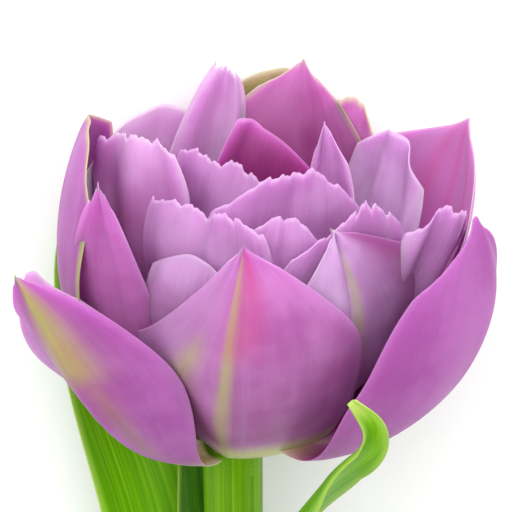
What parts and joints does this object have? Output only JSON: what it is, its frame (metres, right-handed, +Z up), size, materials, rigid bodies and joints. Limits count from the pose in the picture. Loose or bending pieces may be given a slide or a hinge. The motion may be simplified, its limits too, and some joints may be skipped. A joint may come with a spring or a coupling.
{
  "type": "cut double tulip",
  "caption": "Cut double tulip lying on its side: an open bloom of layered lilac-pink petals on a bare green stem with leaves that clasp it.",
  "frame": {"origin": "bottom centre of the flower's box, on the surface it lies on", "axes": "+Y along the flower from the cut end to the bloom, +Z up from the surface, +X to the bloom's right as the picture shows it"},
  "size_m": [0.0824, 0.3528, 0.0757],
  "materials": {
    "petals": "satin petal, lilac pink, paler at the base and edges",
    "stem": "smooth waxy green stem",
    "leaf": "waxy green leaf with fine lengthwise veins",
    "pistil": "pale green, matt",
    "stamens": "dusty dark anthers on pale threads"
  },
  "bodies": {
    "root": {"bloom": "petals", "stem": "stem", "leaf_left": "leaf", "leaf_right": "leaf", "leaf_back": "leaf", "pistil": "pistil", "stamens": "stamens"}
  },
  "joints": []
}
